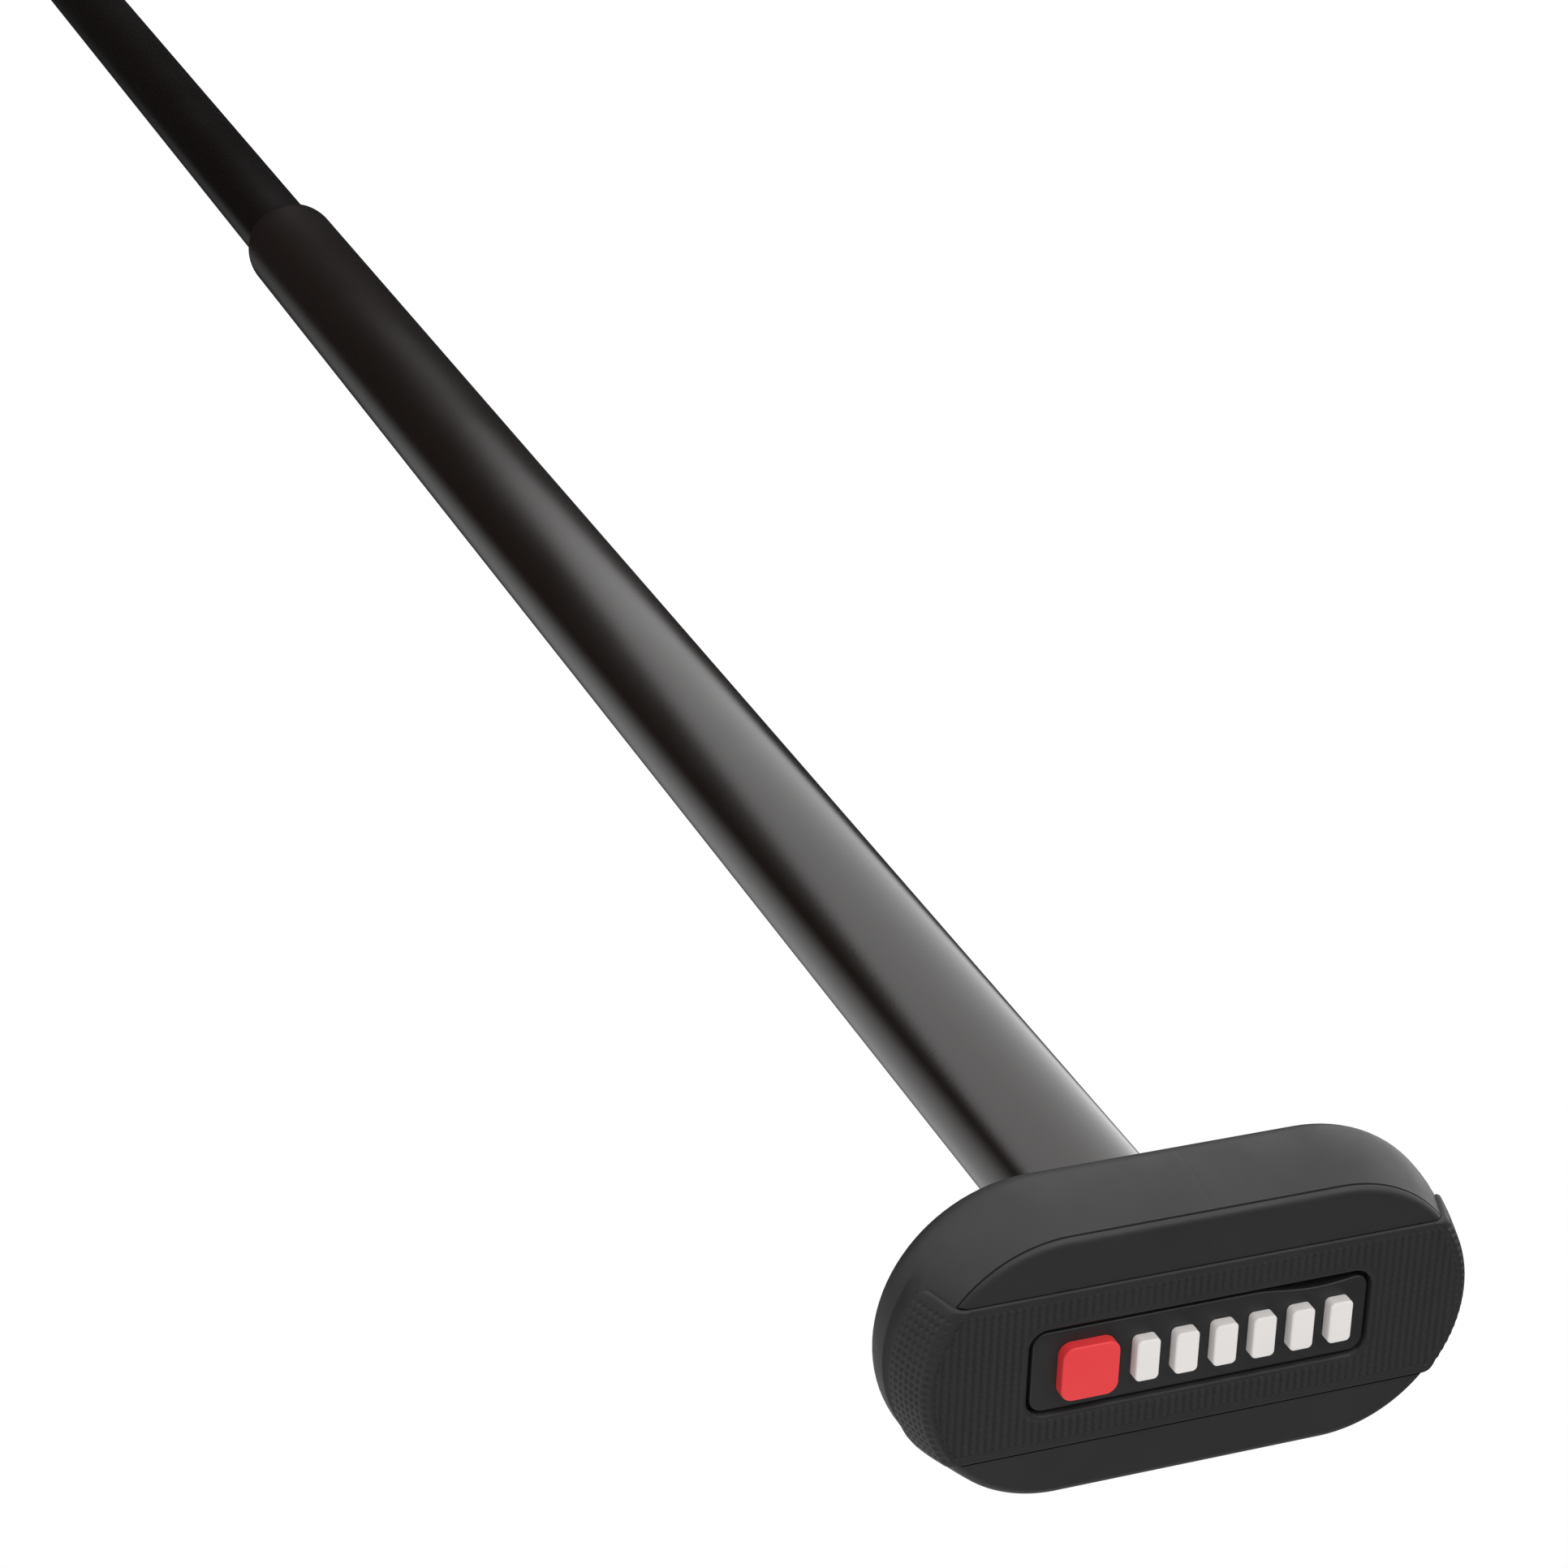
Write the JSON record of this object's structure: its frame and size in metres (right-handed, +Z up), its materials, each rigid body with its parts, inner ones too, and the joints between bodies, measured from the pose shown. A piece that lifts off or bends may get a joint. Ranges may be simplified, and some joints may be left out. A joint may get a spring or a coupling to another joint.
{
  "type": "telescopic cane",
  "caption": "Slim telescopic cane with a flat oblong palm handle, textured band, badge and sliding round tubes held by internal twist locks.",
  "frame": {"origin": "centre of the tip's flat foot, with the cane upright and fully extended", "axes": "+Z up the shaft to the handle, +X along the handle, +Y across the handle"},
  "size_m": [0.0566, 0.0298, 0.9561],
  "materials": {
    "handle_plastic": "soft-touch moulded, fine grain",
    "band_rubber": "matt, moulded grid texture",
    "badge_black": "matt soft plastic",
    "badge_red": "matt soft plastic",
    "badge_white": "matt soft plastic",
    "tube_black": "semi-gloss stove enamel, fine orange peel",
    "inner_tube_black": "semi-gloss stove enamel, blacker than the upper tube",
    "steel": "zinc plated",
    "bush_plastic": "natural acetal",
    "lock_plastic": "moulded nylon",
    "plug_plastic": "moulded nylon",
    "tip_plastic": "moulded, fine grain",
    "tip_wear": "matt hard rubber"
  },
  "bodies": {
    "upper_section": {"rear_shell": "handle_plastic", "front_cap": "handle_plastic", "cap_screw_1": "steel", "cap_screw_2": "steel", "grip_band": "band_rubber", "badge_plate": "badge_black", "badge_stud": "badge_red", "badge_bar_1": "badge_white", "badge_bar_2": "badge_white", "badge_bar_3": "badge_white", "badge_bar_4": "badge_white", "badge_bar_5": "badge_white", "badge_bar_6": "badge_white", "core_plug": "plug_plastic", "cross_pin": "steel", "centre_screw": "steel", "upper_tube": "tube_black", "upper_mouth_bush": "bush_plastic"},
    "middle_sleeve": {"middle_expander": "bush_plastic", "middle_cone_nut": "lock_plastic"},
    "middle_section": {"middle_tube": "inner_tube_black", "middle_guide_bush": "bush_plastic", "middle_end_plug": "plug_plastic", "middle_lock_screw": "steel", "middle_mouth_bush": "bush_plastic"},
    "lower_sleeve": {"lower_expander": "bush_plastic", "lower_cone_nut": "lock_plastic"},
    "lower_section": {"lower_tube": "inner_tube_black", "lower_guide_bush": "bush_plastic", "lower_end_plug": "plug_plastic", "lower_lock_screw": "steel", "tip_insert": "plug_plastic", "tip_pin": "steel", "tip_ferrule": "tip_plastic", "wear_tip": "tip_wear"}
  },
  "joints": [
    {"name": "middle_slide", "type": "slide", "parent": "upper_section", "child": "middle_sleeve", "axis": [0, 0, 1], "range_m": [0, 0.255]},
    {"name": "middle_twist", "type": "hinge", "parent": "middle_sleeve", "child": "middle_section", "pos_m": [0, 0, 0.65912], "axis": [0, 0, 1], "range_deg": [0, 240]},
    {"name": "lower_slide", "type": "slide", "parent": "middle_section", "child": "lower_sleeve", "axis": [0, 0, 1], "range_m": [0, 0.258]},
    {"name": "lower_twist", "type": "hinge", "parent": "lower_sleeve", "child": "lower_section", "pos_m": [0, 0, 0.35562], "axis": [0, 0, 1], "range_deg": [0, 240]}
  ]
}
